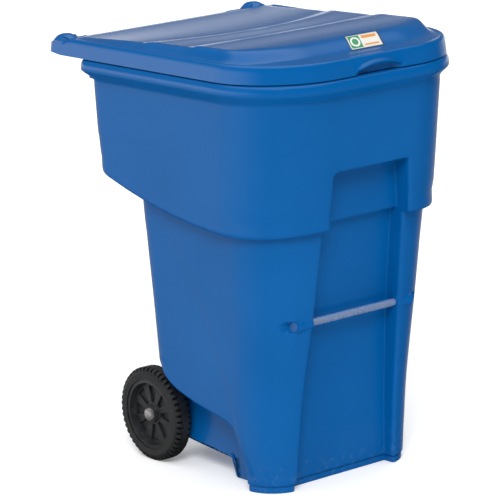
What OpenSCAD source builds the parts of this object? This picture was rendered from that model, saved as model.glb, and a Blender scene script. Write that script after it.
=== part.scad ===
// Two-wheeled roll-out refuse cart: moulded tub, hinged lid, steel lifting bar, steel axle.
// Millimetres. +Z up, front of the cart towards -Y, axle along X, origin on the ground
// under the middle of the whole cart.

/* [Tub] */
// Half width of the tub's wall at the top of the collar
collar_top_w = 339; // [335:1:341]
// Half width of the collar at its lower edge
collar_low_w = 331; // [329:1:333]
// Front face of the collar, at the top
collar_top_front = -430; // [-434:1:-426]
// Front face of the collar, at its lower edge
collar_low_front = -406; // [-409:1:-403]
// Rear wall of the collar
collar_rear = 310; // [305:1:313]
// Lowest height of the collar's lower edge, at the front corners
collar_edge_z = 690; // [685:1:694]
// Thickness of the moulded wall
wall = 4; // [3.5:0.5:5]
// Top of the rim
rim_top_z = 1090; // [1088:1:1091]
// Half width of the rim's bead
rim_w = 360; // [357:1:361]
// Front of the rim's bead
rim_front = -458; // [-459:1:-455]
// Rear of the rim's bead
rim_rear = 338; // [336:1:340]

/* [Front recess] */
// Half width of the grab pocket, at its top edge
pocket_w = 124; // [120:1:127]
// Height of the grab pocket's top edge
pocket_top_z = 846; // [842:1:850]
// Half width of the channel at the ground
channel_foot_w = 165; // [162:1:168]
// Height of the ledge that ends the grab pocket
ledge_z = 709; // [706:1:712]

/* [Lifting bar] */
// Radius of the lifting bar
bar_r = 9.5; // [9:0.1:10]
// Place of the bar, front to back
bar_y = -319; // [-321:1:-318]
// Height of the bar
bar_z = 451; // [446:1:456]

/* [Wheels] */
// Radius of the wheel over its tread
wheel_r = 127; // [125:0.5:127]
// Width of the tyre
tyre_w = 50; // [46:1:50]
// Outer face of the tyre, from the middle of the cart
tyre_face_x = 253; // [252:1:254]
// Place of the axle, front to back
axle_y = 226; // [224:1:228]
// Radius of the axle
axle_r = 8; // [7.5:0.1:8.5]
// Number of lugs round the tread
lug_count = 48; // [40:2:56]
// Number of raised ribs on the wheel's disc
rib_count = 8; // [6:1:10]

/* [Lid] */
// Half width of the lid at the foot of its skirt
lid_w = 355; // [353:1:356]
// Front of the lid at the foot of its skirt
lid_front = -452; // [-453:1:-450]
// Rear edge of the lid between its ears
lid_rear = 412; // [410:1:413]
// Height of the lid's shoulder
shoulder_z = 1137; // [1135:1:1138]
// Rise of the lid's dome above its shoulder
dome_rise = 30; // [28:1:31]
// Thickness of the lid
lid_wall = 3.5; // [3:0.5:4.5]

/* [Hinge] */
// Place of the hinge axis, front to back
hinge_y = 430; // [428:1:431]
// Height of the hinge axis
hinge_z = 1112; // [1111:1:1113]
// Radius of the hinge pins
pin_r = 5; // [4.5:0.1:5.5]

/* [Hidden] */

arc_steps = 8;
side_steps = 6;
run_gap = 0.06;
past = 1;

blue = [0.07, 0.27, 0.62];
dark = [0.09, 0.10, 0.10];
steel = [0.62, 0.64, 0.66];

floor_z = 20;
plinth_z = 18;
collar_top_z = 1040;
cove_foot_z = 1020;
cove_top_z = 1050;
rim_bead_z = 1076;
well_x = 193;
well_roof_z = 305;
skirt_z = 1092;
boss_r = 14;
arm_in = 240;
arm_out = 283;
ear_in = 287;
pin_end_x = 328;
ear_out = 351;
ear_rear = 458;
ear_top_z = 1144;
flank_w = 44;
flank_foot_x = 323;
flank_foot_y = -384;
flank_round = 160;
rear_droop = 12;
rim_r = 95;
bush_r = 12;
hub_r = 21;
spacer_r = 13;
bar_half = 198;
cap_t = 5;
wheel_inner_x = tyre_face_x - tyre_w;
hub_face_x = tyre_face_x - 8;
axle_end_x = tyre_face_x + 2;
cap_r = 17.5;
cap_rise = 7;

// ---- outlines and lofts -------------------------------------------------------------------

// Points on a quarter round, from angle a to a + 90.
function quarter(cx, cy, r, a) =
    [for (i = [0 : arc_steps]) [cx + r * cos(a + 90 * i / arc_steps), cy + r * sin(a + 90 * i / arc_steps)]];

// Points along a straight side, between its two corners.
function side(x, y0, y1) = [for (i = [1 : side_steps]) [x, y0 + (y1 - y0) * i / (side_steps + 1)]];

// A plan outline [half width, front, rear, front corner radius, rear corner radius].
function plan(s, t = 0) =
    let (w = s[0] - t, f = s[1] + t, b = s[2] - t, rf = s[3] - t, rb = s[4] - t)
    concat(quarter(w - rf, f + rf, rf, -90), side(w, f + rf, b - rb),
           quarter(w - rb, b - rb, rb, 0), quarter(-w + rb, b - rb, rb, 90),
           side(-w, b - rb, f + rf), quarter(-w + rf, f + rf, rf, 180));

// The same outline as a level ring, drawn in by t.
function ring(s, z, t = 0) = [for (p = plan(s, t)) [p.x, p.y, z]];

// A solid through a stack of rings with the same number of points.
module loft(rings) {
    n = len(rings[0]);
    last = len(rings) - 1;
    lower = [for (p = rings[0]) 1] * rings[0] / n;
    upper = [for (p = rings[last]) 1] * rings[last] / n;
    points = concat([for (r = rings) each r], [lower, upper]);
    low_cap = [for (i = [0 : n - 1]) [n * (last + 1), i, (i + 1) % n]];
    top_cap = [for (i = [0 : n - 1]) [n * (last + 1) + 1, n * last + (i + 1) % n, n * last + i]];
    sides = [for (k = [0 : last - 1]) for (i = [0 : n - 1]) each
        let (a = n * k + i, b = n * k + (i + 1) % n, c = b + n, d = a + n) [[a, c, b], [a, d, c]]];
    polyhedron(points = points, faces = concat(low_cap, top_cap, sides), convexity = 8);
}

// ---- tub ----------------------------------------------------------------------------------

// Lower body: height, then a plan outline. It narrows and draws back towards the ground.
body_sections = [
    [floor_z, [254, -276, 182, 100, 60]],
    [100, [262, -285, 182, 115, 60]],
    [222, [270, -300, 182, 130, 60]],
    [456, [285, -339, 181, 150, 60]],
    [700, [303, -378, 180, 178, 60]],
    [830, [311, -398, 180, 190, 60]]];

collar_low = [collar_low_w, collar_low_front, collar_rear - 6, 216, 50];
collar_top = [collar_top_w, collar_top_front, collar_rear, 200, 50];
cove = [collar_top_w + 8, collar_top_front - 11, collar_rear + 17, 208, 52];
rim_bead = [rim_w, rim_front, rim_rear, 224, 52];
rim_lip = [rim_w - 9, rim_front + 9, rim_rear - 8, 217, 44];

// Height of the collar's lower edge: lowest at the front corners, rising to the rear
// and a little towards the middle of the front.
function edge_z(p) = collar_edge_z + 3e-4 * pow(max(0, p.y + 300), 2)
    + 0.075 * max(0, 290 - abs(p.x)) * (p.y < -330 ? 1 : 0);

module body_loft(t, low_z, high_z) {
    loft([for (i = [0 : len(body_sections) - 1]) let (s = body_sections[i])
        ring(s[1], i == 0 ? low_z : (i == len(body_sections) - 1 ? high_z : s[0]), t)]);
}

module collar_loft(t, lift, high_z) {
    loft([[for (p = ring(collar_low, 0, t)) [p.x, p.y, edge_z(p) + lift]], ring(collar_top, high_z, t)]);
}

// The rim: a cove out of the collar, then the bead, then the lip that the lid sits on.
module rim_outside() {
    loft([ring(collar_top, cove_foot_z), ring(cove, cove_top_z), ring(rim_bead, cove_top_z + 10),
          ring(rim_bead, rim_bead_z), ring(rim_lip, rim_top_z)]);
}

// Front channel between the two pillars, and the grab pocket above it, grown by t.
module front_recess(t) {
    channel = [[-past, channel_foot_w, -239], [100, 161, -247], [264, 156, -261], [446, 145, -287],
               [596, 138, -312], [ledge_z, 133, -332]];
    loft([for (c = channel) [[c[1] + t, -600, c[0]], [c[1] + t, c[2] + t, c[0]],
                             [-c[1] - t, c[2] + t, c[0]], [-c[1] - t, -600, c[0]]]]);
    loft([for (c = [[ledge_z - past, 132, -354], [pocket_top_z + t, pocket_w, -362]])
             [[c[1] + t, -600, c[0]], [c[1] + t, c[2] + t, c[0]],
              [-c[1] - t, c[2] + t, c[0]], [-c[1] - t, -600, c[0]]]]);
}

// Space for one wheel beside the lower body, in side view, for the side given by s.
module wheel_well(s, t) {
    side = [[420, well_roof_z + 15], [184, well_roof_z], [150, 284], [128, 254], [88, 228], [27, 207],
            [-35, 192], [-78, 184], [-114, 174], [-141, 158], [-161, 104], [-187, 43], [-193, -past],
            [420, -past]];
    grown = [for (p = side) [p.x - (p.x < 100 ? t : 0), p.y + t]];
    translate([s > 0 ? well_x - t : -500, 0, 0])
        rotate([90, 0, 90])
            linear_extrude(500 - well_x + t) polygon(grown);
}

// The underside behind the front feet, raised and rising to the rear, grown by t.
module raised_underside(t) {
    translate([-400, 0, 0])
        rotate([90, 0, 90])
            linear_extrude(800) polygon([[-36 - t, -past], [-46 - t, 50 + t], [60, 60 + t], [420, 100 + t],
                                         [420, -past]]);
}

// The moulded skin of the tub without its bores.
module tub_skin() {
    difference() {
        union() {
            difference() {
                union() {
                    body_loft(0, plinth_z, 830);
                    loft([for (z = [0, plinth_z + past]) ring(body_sections[0][1], z, 4)]);
                }
                for (s = [-1, 1]) wheel_well(s, 0);
                raised_underside(0);
            }
            collar_loft(0, 0, collar_top_z);
            rim_outside();
        }
        front_recess(0);
        difference() {
            union() {
                body_loft(wall, floor_z, 860);
                collar_loft(wall, wall, collar_top_z);
                loft([ring(collar_top, collar_top_z - past, wall), ring(collar_top, rim_top_z + past, wall)]);
            }
            front_recess(wall);
            for (s = [-1, 1]) wheel_well(s, wall);
            raised_underside(wall + 1);
        }
        // A hollow under the front of the floor leaves the feet standing proud.
        translate([-channel_foot_w + 12, -226, -past]) cube([2 * channel_foot_w - 24, 178, 13]);
    }
}

// The housing over the axle: a thin hood with an open underside and four ribs.
module axle_housing() {
    difference() {
        hood(0);
        hood(wall);
    }
    for (x = [-186, -70, 62, 178])
        translate([x, 0, 0]) intersection() {
            hood(0);
            translate([0, 100, 0]) cube([8, 300, 400]);
        }
}

module hood(t) {
    x = well_x - t;
    translate([-x, 0, 0])
        rotate([90, 0, 90])
            linear_extrude(2 * x)
                polygon([[178 - (t > 0 ? 4 : 0), 74 - (t > 0 ? 20 : 0)], [178 - (t > 0 ? 4 : 0), 300 - 2 * t],
                         [184, 300 - 2 * t], [248 - t, 186 - t], [256 - t, 168], [256 - t, 92 - (t > 0 ? 30 : 0)],
                         [244, 80 - (t > 0 ? 30 : 0)]]);
}

// One arm that carries the handle and the hinge, in side view.
module handle_arm(s) {
    translate([s > 0 ? arm_in : -arm_out, 0, 0])
        rotate([90, 0, 90])
            linear_extrude(arm_out - arm_in)
                polygon([[304, 990], [330, 1030], [392, 1084], [424, hinge_z - boss_r + 2], [hinge_y, hinge_z],
                         [426, hinge_z + 6], [414, 1109], [395, 1104], [336, 1098], [330, 1060], [304, 1060]]);
    translate([s > 0 ? arm_in : -arm_out, hinge_y, hinge_z])
        rotate([0, 90, 0]) cylinder(r = boss_r, h = arm_out - arm_in, $fn = 64);
}

module handle_bar() {
    translate([-arm_in - past, hinge_y, hinge_z])
        rotate([0, 90, 0]) cylinder(r = 12, h = 2 * (arm_in + past), $fn = 64);
}

// Tubes that carry the lifting bar through the two hollow pillars.
module bar_boss(s) {
    intersection() {
        translate([s > 0 ? 142 : -230, bar_y, bar_z])
            rotate([0, 90, 0]) cylinder(r = 19, h = 88, $fn = 64);
        body_loft(0.5, 0, 830);
    }
}

module along_x(x0, x1, y, z, r) {
    translate([x0, y, z]) rotate([0, 90, 0]) cylinder(r = r, h = x1 - x0, $fn = 64);
}

module tub() {
    color(blue)
    difference() {
        union() {
            resize([2 * rim_w, 0, 0]) tub_skin();
            axle_housing();
            for (s = [-1, 1]) handle_arm(s);
            for (s = [-1, 1]) bar_boss(s);
            handle_bar();
        }
        along_x(-200, 200, axle_y, wheel_r, axle_r + 0.05);
        along_x(-240, 240, bar_y, bar_z, bar_r + run_gap);
        for (s = [-1, 1]) along_x(s > 0 ? bar_half - cap_t : -240, s > 0 ? 240 : -bar_half + cap_t, bar_y, bar_z, 14);
        for (s = [-1, 1]) along_x(s > 0 ? arm_in - 20 : -arm_out - past, s > 0 ? arm_out + past : -arm_in + 20,
                                  hinge_y, hinge_z, pin_r + run_gap);
    }
}

// ---- lid ----------------------------------------------------------------------------------

function smooth(a, b, v) = let (u = min(1, max(0, (v - a) / (b - a)))) u * u * (3 - 2 * u);

// Distance from a point to the foot of the dome's flank, which has round front corners.
function inside_flank(x, y) =
    let (corner_x = flank_foot_x - flank_round, corner_y = flank_foot_y + flank_round)
    abs(x) > corner_x && y < corner_y
        ? flank_round - norm([abs(x) - corner_x, y - corner_y])
        : min(flank_foot_x - abs(x), y - flank_foot_y);

// How far the dome has come down towards the rear, in two low steps that bow backwards.
function fall(x, y) =
    let (first = -140 + 42 * pow(x / 290, 2), second = 28 + 32 * pow(x / 250, 2))
    0.30 * smooth(first - 8, first + 18, y) + 0.10 * smooth(first + 18, second - 12, y)
    + 0.26 * smooth(second - 10, second + 20, y) + 0.26 * smooth(second + 20, 385, y);

function lid_z(x, y) =
    shoulder_z + dome_rise * min(1, max(0, inside_flank(x, y) / flank_w)) * (1 - fall(x, y))
    - rear_droop * smooth(350, lid_rear, y);

// A block with the lid's crown as its top, t below the outside.
module crown(t) {
    half_xs = [30, 70, 110, 150, 190, 220, 250, 279, 301, 323, 345, 400];
    xs = concat([for (i = [len(half_xs) - 1 : -1 : 0]) -half_xs[i]], [0], half_xs);
    ys = concat([-500, -440, -400, -384, -362, -340, -318, -290, -260, -224, -190, -160],
                [for (y = [-148 : 12 : -88]) y], [-60, -30, 0], [for (y = [16 : 12 : 88]) y],
                [for (y = [120 : 40 : 440]) y]);
    nx = len(xs) - 1;
    ny = len(ys) - 1;
    top = [for (y = ys) for (x = xs) [x, y, lid_z(x, y) - t]];
    base = [for (p = top) [p.x, p.y, skirt_z - 10]];
    w = nx + 1;
    n = w * (ny + 1);
    cells = [for (j = [0 : ny - 1]) for (i = [0 : nx - 1]) w * j + i];
    edge = concat([for (i = [0 : nx - 1]) i], [for (j = [0 : ny - 1]) w * j + nx],
                  [for (i = [nx : -1 : 1]) w * ny + i], [for (j = [ny : -1 : 1]) w * j]);
    m = len(edge);
    polyhedron(points = concat(top, base), faces = concat(
        [for (c = cells) each [[c, c + w, c + w + 1], [c, c + w + 1, c + 1]]],
        [[for (k = [0 : m - 1]) n + edge[k]]],
        [for (k = [0 : m - 1]) let (a = edge[k], b = edge[(k + 1) % m]) each [[a, b, n + b], [a, n + b, n + a]]]),
        convexity = 6);
}

lid_foot = [lid_w, lid_front, lid_rear, 219, 30];
lid_top = [lid_w - 4, lid_front + 4, lid_rear, 215, 26];

module lid_shell() {
    difference() {
        intersection() {
            loft([ring(lid_foot, skirt_z), ring(lid_top, shoulder_z - 6), ring(lid_top, shoulder_z + 60, 8)]);
            crown(0);
        }
        intersection() {
            loft([ring(lid_foot, skirt_z - past, lid_wall), ring(lid_top, shoulder_z + 60, lid_wall)]);
            crown(lid_wall);
        }
        // Along the back the skirt is cut short, clear of the handle.
        translate([-ear_in, lid_rear - 40, skirt_z - 10]) cube([2 * ear_in, 60, hinge_z - skirt_z + 10]);
        // The finger scoop in the front of the skirt.
        translate([0, lid_front, skirt_z - 4]) scale([1, 0.16, 0.22]) sphere(r = 110, $fn = 48);
    }
    finger_hood();
}

// A shell over the finger scoop.
module finger_hood() {
    intersection() {
        difference() {
            translate([0, lid_front + 3, skirt_z - 4]) scale([1, 0.16, 0.22]) sphere(r = 116, $fn = 48);
            translate([0, lid_front - 2, skirt_z - 8]) scale([1, 0.16, 0.22]) sphere(r = 112, $fn = 48);
        }
        translate([-150, lid_front - 5, skirt_z]) cube([300, 40, 34]);
        loft([ring(lid_foot, skirt_z), ring(lid_top, shoulder_z - 6)]);
    }
}

// One ear of the lid, over the end of the handle: a side profile, rounded across its crown
// and round its outer rear corner.
module ear(s) {
    w = ear_out - ear_in;
    crown_r = 24;
    corner_r = 20;
    mirror([s > 0 ? 0 : 1, 0, 0])
    intersection() {
        translate([ear_in, 0, 0])
            rotate([90, 0, 90])
                linear_extrude(w)
                    polygon(concat([[370, skirt_z], [ear_rear - 5, skirt_z + 2], [ear_rear, 1102]],
                        [for (a = [0 : 15 : 75]) [ear_rear - 24 + 24 * cos(a), 1112 + 20 * sin(a)]],
                        [for (a = [75 : 15 : 150]) [396 + 26 * cos(a), ear_top_z - 26 + 26 * sin(a)]],
                        [[352, shoulder_z - 1]]));
        translate([ear_in, 500, 0])
            rotate([90, 0, 0])
                linear_extrude(200) {
                    for (x = [crown_r, w - crown_r])
                        translate([x, ear_top_z - crown_r]) circle(r = crown_r, $fn = 64);
                    translate([crown_r, 1000]) square([w - 2 * crown_r, ear_top_z - 1000]);
                    translate([0, 1000]) square([w, ear_top_z - crown_r - 1000]);
                }
        translate([0, 0, 1000])
            linear_extrude(200) {
                translate([ear_out - corner_r, ear_rear - corner_r]) circle(r = corner_r, $fn = 64);
                translate([ear_in, 300]) square([w - corner_r, ear_rear - 300]);
                translate([ear_in, 300]) square([w, ear_rear - corner_r - 300]);
            }
    }
}

module lid() {
    color(blue)
    difference() {
        union() {
            resize([2 * lid_w, 0, 0]) lid_shell();
            for (s = [-1, 1]) ear(s);
        }
        for (s = [-1, 1]) along_x(s > 0 ? ear_in - past : -pin_end_x - 2, s > 0 ? pin_end_x + 2 : -ear_in + past,
                                  hinge_y, hinge_z, pin_r + run_gap);
    }
}

// A printed panel on the front flank of the dome.
module lid_label() {
    w = 110;
    h = 46;
    x = 52;
    y = flank_foot_y + flank_w / 2;
    tilt = atan(dome_rise / flank_w);
    color([0.8, 0.25, 0.15])
    translate([x, y, lid_z(x, y) + 0.4])
        rotate([tilt, 0, 0])
            translate([-w / 2, -h / 2, 0]) cube([w, h, 0.6]);
}

// ---- metal and small parts ----------------------------------------------------------------

module lid_pin(s) {
    x0 = s > 0 ? arm_in - 14 : -pin_end_x;
    x1 = s > 0 ? pin_end_x : -arm_in + 14;
    color(dark) along_x(x0, x1, hinge_y, hinge_z, pin_r);
}

module axle() {
    color(steel) along_x(-axle_end_x, axle_end_x, axle_y, wheel_r, axle_r);
}

// Turns a profile drawn outwards from the cart's middle about the axle, on the side given by s.
module on_axle(s) {
    translate([0, axle_y, wheel_r]) rotate([0, 90 * s, 0]) children();
}

module tube(r_out, r_in, x0, x1) {
    rotate_extrude($fn = 96) translate([r_in, x0]) square([r_out - r_in, x1 - x0]);
}

module axle_spacer(s) {
    color(dark) on_axle(s) tube(spacer_r, axle_r + run_gap, well_x + 0.5, wheel_inner_x - 0.5);
}

module wheel_bush(s) {
    color([0.8, 0.8, 0.76]) on_axle(s) tube(bush_r, axle_r + run_gap, wheel_inner_x, hub_face_x);
}

// Wheel centre: hub, dished disc with raised ribs, and rim.
module wheel(s) {
    mid = (wheel_inner_x + tyre_face_x) / 2;
    color(dark) on_axle(s) difference() {
        rotate_extrude($fn = 96)
            polygon([[bush_r, wheel_inner_x], [hub_r, wheel_inner_x], [hub_r + 3, mid - 5], [78, mid - 8],
                     [84, wheel_inner_x + 4], [rim_r, wheel_inner_x + 3], [rim_r, tyre_face_x - 3],
                     [85, tyre_face_x - 2], [80, mid + 7], [hub_r + 4, mid + 9], [hub_r, hub_face_x],
                     [bush_r, hub_face_x]]);
        for (i = [0 : rib_count - 1])
            rotate([0, 0, 360 * i / rib_count])
                translate([0, 0, mid + 1])
                    linear_extrude(40)
                        polygon([for (e = [[30, -10], [76, -13], [76, 13], [30, 10]])
                                 [e[0] * cos(e[1]), e[0] * sin(e[1])]]);
    }
}

// Solid tyre with lugs notched into both shoulders.
module tyre(s) {
    notch = 360 / lug_count;
    root_r = wheel_r - 10;
    color(dark) on_axle(s) difference() {
        rotate_extrude($fn = 128)
            polygon([[rim_r, wheel_inner_x], [rim_r + 16, wheel_inner_x], [wheel_r - 3, wheel_inner_x + 5],
                     [wheel_r, wheel_inner_x + 10], [wheel_r, tyre_face_x - 10], [wheel_r - 3, tyre_face_x - 5],
                     [rim_r + 16, tyre_face_x], [rim_r, tyre_face_x]]);
        for (i = [0 : lug_count - 1])
            rotate([0, 0, notch * i]) {
                translate([root_r, -3.5, tyre_face_x - 16]) cube([20, 7, 20]);
                rotate([0, 0, notch / 2]) translate([root_r, -3.5, wheel_inner_x - 4]) cube([20, 7, 20]);
            }
    }
}

module hub_washer(s) {
    color(steel) on_axle(s) tube(17, axle_r + run_gap, hub_face_x + 0.4, hub_face_x + 2);
}

// Domed push-on cap over the axle's end.
module hub_cap(s) {
    color(steel) on_axle(s)
        rotate_extrude($fn = 96)
            polygon(concat([[axle_r, hub_face_x + 2.4], [cap_r, hub_face_x + 2.4]],
                [for (a = [0 : 15 : 90]) [cap_r * cos(a), tyre_face_x - 1 + cap_rise * sin(a)]],
                [[0, axle_end_x], [axle_r, axle_end_x]]));
}

module lift_bar() {
    color(steel) along_x(-bar_half, bar_half, bar_y, bar_z, bar_r);
}

module lift_bar_cap(s) {
    x0 = s > 0 ? bar_half - cap_t + 0.5 : -bar_half - 2;
    color(steel) difference() {
        along_x(x0, x0 + cap_t + 1.5, bar_y, bar_z, 13);
        along_x(s > 0 ? x0 - past : -bar_half, s > 0 ? bar_half : x0 + cap_t + 1.5 + past, bar_y, bar_z, bar_r);
    }
}

tub();
lid();
lid_pin(-1);  // lid_pin_left
lid_pin(1);  // lid_pin_right
axle();
axle_spacer(-1);  // axle_spacer_left
axle_spacer(1);  // axle_spacer_right
wheel(-1);  // wheel_left
wheel(1);  // wheel_right
tyre(-1);  // tyre_left
tyre(1);  // tyre_right
wheel_bush(-1);  // wheel_bush_left
wheel_bush(1);  // wheel_bush_right
hub_washer(-1);  // hub_washer_left
hub_washer(1);  // hub_washer_right
hub_cap(-1);  // hub_cap_left
hub_cap(1);  // hub_cap_right
lift_bar();
lift_bar_cap(-1);  // lift_bar_cap_left
lift_bar_cap(1);  // lift_bar_cap_right
lid_label();
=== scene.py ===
# %% [markdown]
# # A wheelie bin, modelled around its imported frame
# The bin is a tall blue moulded tub on two rubber-tyred wheels, closed by a domed lid that swings on two
# pins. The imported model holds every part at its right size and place, and in this lesson each part is given
# its looks.

import math

import bmesh
import bpy
import numpy as np
from mathutils import Matrix, Vector


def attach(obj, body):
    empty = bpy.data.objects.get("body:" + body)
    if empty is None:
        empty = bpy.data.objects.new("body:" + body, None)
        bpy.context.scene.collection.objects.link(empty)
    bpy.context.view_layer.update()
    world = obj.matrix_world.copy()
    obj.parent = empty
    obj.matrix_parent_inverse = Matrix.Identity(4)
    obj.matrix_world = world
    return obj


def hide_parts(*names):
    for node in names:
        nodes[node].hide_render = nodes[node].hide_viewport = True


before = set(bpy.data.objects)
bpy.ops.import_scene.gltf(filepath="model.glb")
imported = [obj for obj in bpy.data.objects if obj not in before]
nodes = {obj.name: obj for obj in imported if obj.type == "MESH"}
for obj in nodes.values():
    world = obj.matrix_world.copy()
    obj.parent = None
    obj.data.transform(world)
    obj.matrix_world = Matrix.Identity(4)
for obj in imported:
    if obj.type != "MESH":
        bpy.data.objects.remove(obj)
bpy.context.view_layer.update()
MM = 0.001

# %% [markdown]
# ## The camera
# The bin is seen from its front left corner, from a little above, through a long lens that keeps its sides
# nearly parallel. A camera looks along its own -Z, so its matrix is built from its sight line, its right
# and its up.

# %% Camera
SIGHT_TURN = math.radians(39.35)
SIGHT_DROP = math.radians(13.245)
SIGHT_ROLL = -0.0412
CAMERA_PLACE = Vector((-5.3631, -6.4593, 2.5438))
LENS_MM = 236.7

ahead = Vector((math.sin(SIGHT_TURN) * math.cos(SIGHT_DROP),
                math.cos(SIGHT_TURN) * math.cos(SIGHT_DROP), -math.sin(SIGHT_DROP)))
level_right = Vector((math.cos(SIGHT_TURN), -math.sin(SIGHT_TURN), 0.0))
level_up = level_right.cross(ahead)
right = math.cos(SIGHT_ROLL) * level_right + math.sin(SIGHT_ROLL) * level_up
up = -math.sin(SIGHT_ROLL) * level_right + math.cos(SIGHT_ROLL) * level_up
bpy.ops.object.camera_add()
camera = bpy.context.object
camera.name = "studio_camera"
camera.matrix_world = Matrix.Translation(CAMERA_PLACE) @ Matrix((right, up, -ahead)).transposed().to_4x4()
camera.data.sensor_width = 36.0
camera.data.lens = LENS_MM
bpy.context.scene.camera = camera
print("camera looks along", [round(c, 3) for c in ahead])

# %% [markdown]
# ## The studio
# A white floor and a soft white sky light the bin, as a light tent does, and a broad key light from the
# front left gives it soft shadows. What the gloss shows is set apart: a tent is bright behind the object
# and dark on the side of the camera, so the sky that a glossy ray meets is bright low down at the back and
# dark at the front.

# %% Floor and light
bpy.ops.mesh.primitive_plane_add(size=60.0, location=(0, 0, 0))
floor = bpy.context.object
floor.name = "studio_floor"
floor.visible_glossy = False

bpy.context.scene.view_settings.view_transform = "Standard"


# %% Nodes from expressions
class Wire:
    """One output of a shader node. An expression on wires, or on wires and numbers, adds its Math nodes."""

    def __init__(self, finish, socket):
        self.finish = finish
        self.socket = socket

    def math(self, operation, *others):
        return self.finish.node("ShaderNodeMath", dict(operation=operation),
                                {i: v for i, v in enumerate((self,) + others)})

    def __add__(self, other):
        return self.math("ADD", other)

    def __sub__(self, other):
        return self.math("SUBTRACT", other)

    def __mul__(self, other):
        return self.math("MULTIPLY", other)

    def __truediv__(self, other):
        return self.math("DIVIDE", other)

    def __pow__(self, other):
        return self.math("POWER", other)

    def __rsub__(self, other):
        return (self * -1.0).math("ADD", other)

    __radd__ = __add__
    __rmul__ = __mul__

    def ramp(self, low, high, to_low=0.0, to_high=1.0):
        """This value, spread smoothly from low..high over to_low..to_high and held there outside."""
        return self.finish.node("ShaderNodeMapRange", dict(interpolation_type="SMOOTHSTEP"),
                                {0: self, 1: low, 2: high, 3: to_low, 4: to_high})

    def axis(self, name):
        """The X, Y or Z of a point or direction."""
        return self.finish.node("ShaderNodeSeparateXYZ", {}, {0: self}, output=name)


class NodeSheet:
    """A tree of shader nodes, with one method that adds any node to it."""

    def __init__(self, tree):
        self.tree = tree

    def node(self, kind, settings, sockets, output=0):
        """Adds a node: its settings come first, then the values or wires of its sockets. Gives one output."""
        made = self.tree.nodes.new(kind)
        for name, value in settings.items():
            setattr(made, name, value)
        for key, value in sockets.items():
            self.plug(made.inputs[key], value)
        return Wire(self, made.outputs[output])

    def plug(self, socket, value):
        if isinstance(value, Wire):
            self.tree.links.new(value.socket, socket)
        else:
            socket.default_value = value


class Finish(NodeSheet):
    """A material with one Principled shader."""

    def __init__(self, name, **shader_sockets):
        self.material = bpy.data.materials.new(name)
        self.material.use_nodes = True
        super().__init__(self.material.node_tree)
        self.shader = self.tree.nodes["Principled BSDF"]
        self.place = self.node("ShaderNodeTexCoord", {}, {}, output="Object")
        for key, value in shader_sockets.items():
            self.set(key.replace("_", " "), value)

    def set(self, socket_name, value):
        self.plug(self.shader.inputs[socket_name], value)

    def noise(self, scale, detail=3.0, roughness=0.5, point=None):
        sockets = {"Vector": point or self.place, "Scale": scale, "Detail": detail, "Roughness": roughness}
        return self.node("ShaderNodeTexNoise", {}, sockets)

    def mix(self, factor, a, b):
        """Colours a and b mixed by factor."""
        return self.node("ShaderNodeMix", dict(data_type="RGBA"), {0: factor, 6: a, 7: b}, output=2)

    def bump(self, height, distance, strength):
        return self.node("ShaderNodeBump", {}, {"Height": height, "Distance": distance, "Strength": strength})

    def on(self, *pieces):
        for piece in pieces:
            piece.data.materials.clear()
            piece.data.materials.append(self.material)


# %% [markdown]
# ## The tub
# The tub is one large moulding of polyethylene with a wall of 4 mm. Its lower body narrows towards the
# ground, two hollow pillars stand at its front beside a deep channel, and a wider collar with a grab pocket
# hangs over it. A box with cuts would give hard corners, so the skin is lofted: half an outline is drawn at
# each height, with every corner rounded as the mould rounds it, and a sheet of faces is rolled up through
# all the outlines.

# %% Paths in plan
def smooth(low, high, value):
    """0 below low, 1 above high, and an even curve between them. low may be above high."""
    t = min(1.0, max(0.0, (value - low) / (high - low)))
    return t * t * (3 - 2 * t)


def table(rows):
    """Numbers that depend on the first number of each row, on a smooth curve that doesn't overshoot."""
    rows = np.array(rows, float)
    at, values = rows[:, 0], rows[:, 1:]
    slope = np.diff(values, axis=0) / np.diff(at)[:, None]
    tangent = np.concatenate([slope[:1], slope])
    same_way = slope[:-1] * slope[1:] > 0
    sums = np.where(same_way, slope[:-1] + slope[1:], 1.0)
    tangent[1:-1] = np.where(same_way, 2 * slope[:-1] * slope[1:] / sums, 0.0)

    def read(z):
        z = min(max(z, at[0]), at[-1])
        i = min(int(np.searchsorted(at, z, side="right")) - 1, len(at) - 2)
        gap = at[i + 1] - at[i]
        t = (z - at[i]) / gap
        found = ((2 * t ** 3 - 3 * t ** 2 + 1) * values[i] + (t ** 3 - 2 * t ** 2 + t) * gap * tangent[i]
                 + (3 * t ** 2 - 2 * t ** 3) * values[i + 1] + (t ** 3 - t ** 2) * gap * tangent[i + 1])
        return found.tolist()
    return read


def arc(cx, cy, radius, start, end, steps):
    """Points on a round, between two angles in degrees."""
    turns = [math.radians(start + (end - start) * i / steps) for i in range(steps + 1)]
    return [(cx + radius * math.cos(turn), cy + radius * math.sin(turn)) for turn in turns]


def half_plan(half, front, rear, front_r, rear_r, inset=0.0):
    """The right half of a rounded outline, from the middle of the front to the middle of the rear."""
    half, front, rear = half - inset, front + inset, rear - inset
    front_r, rear_r = front_r - inset, rear_r - inset
    return np.array([(0.0, front)] + arc(half - front_r, front + front_r, front_r, -90, 0, 60)
                    + arc(half - rear_r, rear - rear_r, rear_r, 0, 90, 24) + [(0.0, rear)])


def run_of(path):
    """Distance of each point of a path from its start."""
    return np.concatenate([[0.0], np.cumsum(np.linalg.norm(np.diff(path, axis=0), axis=1))])


def stretch(path, start, end, count):
    """count + 1 even points on a path, from one distance along it to another."""
    at = np.linspace(start, end, count + 1)
    run = run_of(path)
    return np.stack([np.interp(at, run, path[:, 0]), np.interp(at, run, path[:, 1])], axis=1)


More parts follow.
